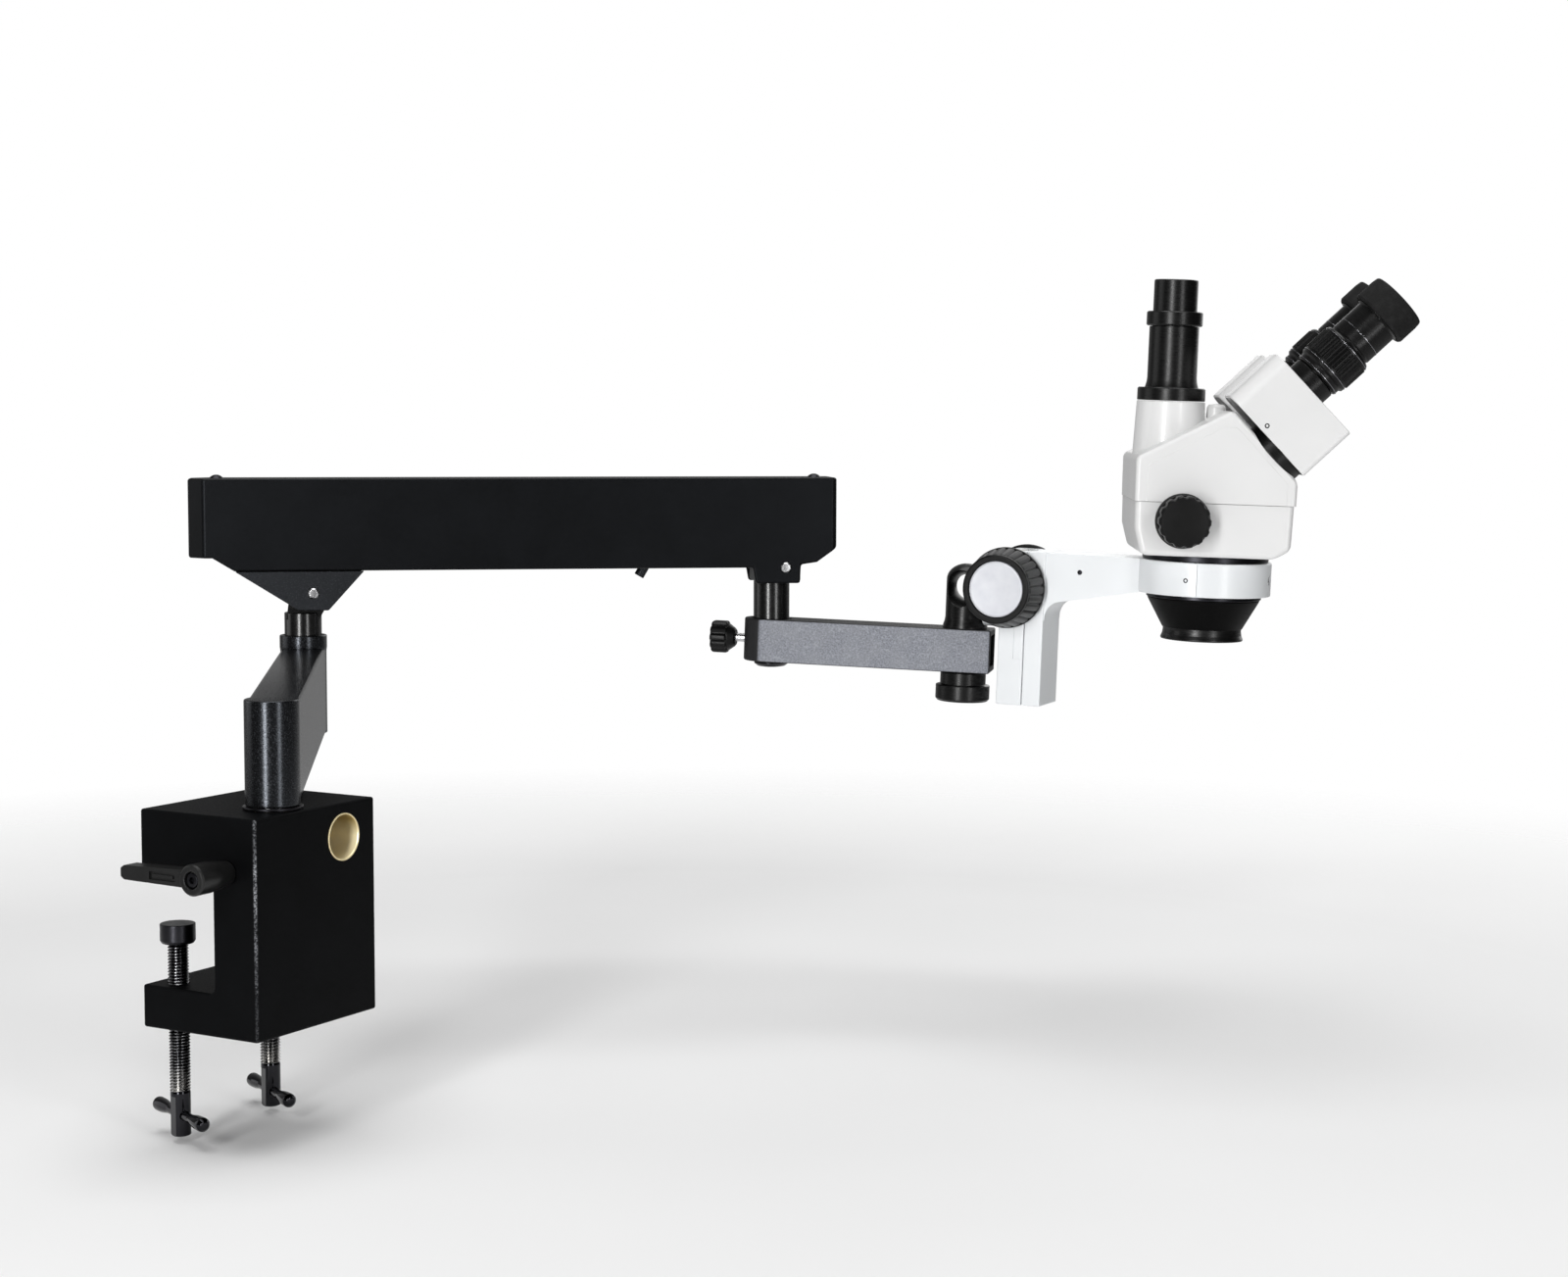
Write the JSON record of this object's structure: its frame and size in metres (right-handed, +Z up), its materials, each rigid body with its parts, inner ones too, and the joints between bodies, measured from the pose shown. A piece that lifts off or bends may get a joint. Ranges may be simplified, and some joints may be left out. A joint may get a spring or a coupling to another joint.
{
  "type": "stereo microscope on an articulating arm",
  "caption": "Trinocular zoom stereo microscope head on a spring-balanced, swinging bench arm with a table clamp.",
  "frame": {"origin": "centre of the upper jaw's underside, which rests on the tabletop", "axes": "+X along the table edge, +Y into the table, +Z up"},
  "size_m": [0.706, 0.743, 0.4966],
  "materials": {
    "black_paint": "fine satin black powder coat",
    "grey_paint": "speckled grey hammered coat",
    "white_paint": "satin white enamel",
    "black_plastic": "satin black",
    "rubber": "matt black",
    "steel": "turned steel",
    "chrome": "bright plating",
    "brass": "bored brass",
    "glass": "coated optical glass",
    "anodised": "black anodised"
  },
  "bodies": {
    "clamp": {"clamp_block": "black_paint", "arm_bushing": "brass", "side_socket": "brass"},
    "pad_1": {"clamp_pad_1": "steel"},
    "pad_2": {"clamp_pad_2": "steel"},
    "screw_1": {"clamp_screw_1": "chrome"},
    "screw_2": {"clamp_screw_2": "chrome"},
    "bar_1": {"t_bar_1": "chrome"},
    "bar_2": {"t_bar_2": "chrome"},
    "lever": {"lock_lever": "black_plastic", "lever_stud": "steel"},
    "arm_lower": {"lower_arm": "black_paint", "lower_arm_pin": "steel", "arm_washer": "steel", "post_bushing": "brass"},
    "base_yoke": {"lower_post": "black_paint"},
    "arm_spring": {"arm_housing": "black_paint", "pivot_bracket": "black_paint", "pivot_pin_left": "steel", "pivot_pin_right": "steel", "tension_screw": "black_paint", "balance_spring": "steel"},
    "link": {"parallel_link": "steel"},
    "end_bracket": {"end_yoke": "black_paint", "upper_post": "black_paint", "post_cap": "black_plastic"},
    "arm_extension": {"extension_arm": "grey_paint", "extension_bushing": "brass"},
    "thumb": {"thumb_screw": "black_plastic"},
    "swivel": {"swivel_post": "black_paint", "swivel_cap": "black_plastic"},
    "mount": {"focus_body": "white_paint", "mount_pin": "steel"},
    "knobs": {"pinion_shaft": "steel", "focus_knob_left": "black_plastic", "focus_knob_right": "black_plastic"},
    "slide": {"holder_arm": "white_paint", "focus_rack": "brass", "ring_screw": "steel"},
    "head": {"mounting_collar": "black_paint", "objective_barrel": "anodised", "objective_lens": "glass", "lower_body": "white_paint", "upper_shell": "white_paint", "photo_base": "anodised"},
    "zoom": {"zoom_shaft": "steel", "zoom_knob_left": "black_plastic", "zoom_knob_right": "black_plastic"},
    "ocular_left": {"prism_left": "white_paint", "eyepiece_left": "anodised", "eyecup_left": "rubber"},
    "ocular_right": {"prism_right": "white_paint", "eyepiece_right": "anodised", "eyecup_right": "rubber"},
    "dial_left": {"dioptre_ring_left": "anodised"},
    "dial_right": {"dioptre_ring_right": "anodised"},
    "lock_ring": {"photo_lock_ring": "anodised"},
    "camera_tube": {"photo_tube": "anodised"}
  },
  "joints": [
    {"name": "pad_1_lift", "type": "slide", "parent": "clamp", "child": "pad_1", "axis": [0, 0, 1], "range_m": [-0.02, 0.022]},
    {"name": "screw_1_turn", "type": "hinge", "parent": "pad_1", "child": "screw_1", "pos_m": [-0.0387, 0.01175, -0.06], "axis": [0, 0, 1], "range_deg": [-4117, 4528]},
    {"name": "t_bar_1_slide", "type": "slide", "parent": "screw_1", "child": "bar_1", "axis": [0.3971, 0.9178, 0], "range_m": [-0.009, 0.009]},
    {"name": "pad_2_lift", "type": "slide", "parent": "clamp", "child": "pad_2", "axis": [0, 0, 1], "range_m": [-0.02, 0.022]},
    {"name": "screw_2_turn", "type": "hinge", "parent": "pad_2", "child": "screw_2", "pos_m": [0.0387, 0.01175, -0.06], "axis": [0, 0, 1], "range_deg": [-4117, 4528]},
    {"name": "t_bar_2_slide", "type": "slide", "parent": "screw_2", "child": "bar_2", "axis": [0.4756, 0.8796, 0], "range_m": [-0.009, 0.009]},
    {"name": "lever_turn", "type": "hinge", "parent": "clamp", "child": "lever", "pos_m": [-0.052, -0.03755, 0.01], "axis": [1, 0, 0], "range_deg": [-25, 60]},
    {"name": "lower_arm_swing", "type": "hinge", "parent": "clamp", "child": "arm_lower", "pos_m": [-0.0135, -0.03755, 0.0408], "axis": [0, 0, 1], "range_deg": [-75, 60]},
    {"name": "spring_arm_swing", "type": "hinge", "parent": "arm_lower", "child": "base_yoke", "pos_m": [0.2551, 0.16395, 0.0408], "axis": [0, 0, 1], "range_deg": [-60, 75]},
    {"name": "spring_arm_tilt", "type": "hinge", "parent": "base_yoke", "child": "arm_spring", "pos_m": [0.25977, 0.15821, 0.1393], "axis": [0.7755, 0.6314, 0], "range_deg": [-18, 14]},
    {"name": "parallel_link_tilt", "type": "hinge", "parent": "base_yoke", "child": "link", "pos_m": [0.25977, 0.15821, 0.1733], "axis": [0.7755, 0.6314, 0], "range_deg": [-18.5, 14.5]},
    {"name": "end_bracket_level", "type": "hinge", "parent": "arm_spring", "child": "end_bracket", "pos_m": [0.46313, -0.09158, 0.1544], "axis": [0.7755, 0.6314, 0], "range_deg": [-14.5, 18.5]},
    {"name": "extension_swing", "type": "hinge", "parent": "end_bracket", "child": "arm_extension", "pos_m": [0.4585, -0.08595, 0.1032], "axis": [0, 0, 1], "range_deg": [-75, 75]},
    {"name": "thumb_screw_turn", "type": "hinge", "parent": "arm_extension", "child": "thumb", "pos_m": [0.45229, -0.06801, 0.10383], "axis": [0.327, -0.9444, -0.0332], "range_deg": [-90, 90]},
    {"name": "swivel_post_turn", "type": "hinge", "parent": "arm_extension", "child": "swivel", "pos_m": [0.50285, -0.21401, 0.0987], "axis": [0.0108, -0.0313, 0.9995], "range_deg": [-80, 80]},
    {"name": "mount_roll", "type": "hinge", "parent": "swivel", "child": "mount", "pos_m": [0.50313, -0.21483, 0.12469], "axis": [0.1217, -0.992, -0.0324], "range_deg": [-18, 18]},
    {"name": "focus_travel", "type": "slide", "parent": "mount", "child": "slide", "axis": [0.0108, -0.0313, 0.9995], "range_m": [-0.0175, 0.0175]},
    {"name": "focus_knob_turn", "type": "hinge", "parent": "mount", "child": "knobs", "pos_m": [0.50773, -0.25118, 0.14371], "axis": [0.9925, 0.122, -0.0069], "range_deg": [-240, 240]},
    {"name": "head_turn", "type": "hinge", "parent": "slide", "child": "head", "pos_m": [0.52372, -0.38077, 0.15328], "axis": [0.0108, -0.0313, 0.9995], "range_deg": [-170, 170]},
    {"name": "zoom_turn", "type": "hinge", "parent": "head", "child": "zoom", "pos_m": [0.51382, -0.36258, 0.19298], "axis": [0.883, 0.4694, 0.0051], "range_deg": [-75, 75]},
    {"name": "ocular_left_swing", "type": "hinge", "parent": "head", "child": "ocular_left", "pos_m": [0.5154, -0.43209, 0.2379], "axis": [0.3395, -0.6461, 0.6836], "range_deg": [-8, 18]},
    {"name": "ocular_right_swing", "type": "hinge", "parent": "head", "child": "ocular_right", "pos_m": [0.57015, -0.40299, 0.23822], "axis": [0.3395, -0.6461, 0.6836], "range_deg": [-18.5, 8.5]},
    {"name": "dioptre_left_turn", "type": "hinge", "parent": "ocular_left", "child": "dial_left", "pos_m": [0.53004, -0.46022, 0.2924], "axis": [0.3395, -0.6461, 0.6836], "range_deg": [-120, 120]},
    {"name": "dioptre_right_turn", "type": "hinge", "parent": "ocular_right", "child": "dial_right", "pos_m": [0.58479, -0.43112, 0.29272], "axis": [0.3395, -0.6461, 0.6836], "range_deg": [-120, 120]},
    {"name": "lock_ring_turn", "type": "hinge", "parent": "head", "child": "lock_ring", "pos_m": [0.51256, -0.36162, 0.3231], "axis": [0.0108, -0.0313, 0.9995], "range_deg": [-60, 60]},
    {"name": "camera_tube_lift", "type": "slide", "parent": "head", "child": "camera_tube", "axis": [0.0108, -0.0313, 0.9995], "range_m": [0, 0.009]}
  ],
  "couplings": [
    {"joint": "screw_1_turn", "follows": "pad_1_lift", "rad_per_m": 3590.4},
    {"joint": "screw_2_turn", "follows": "pad_2_lift", "rad_per_m": 3590.4},
    {"joint": "parallel_link_tilt", "follows": "spring_arm_tilt", "ratio": 1},
    {"joint": "end_bracket_level", "follows": "spring_arm_tilt", "ratio": -1},
    {"joint": "focus_knob_turn", "follows": "focus_travel", "rad_per_m": -238.1},
    {"joint": "ocular_right_swing", "follows": "ocular_left_swing", "ratio": -1}
  ]
}
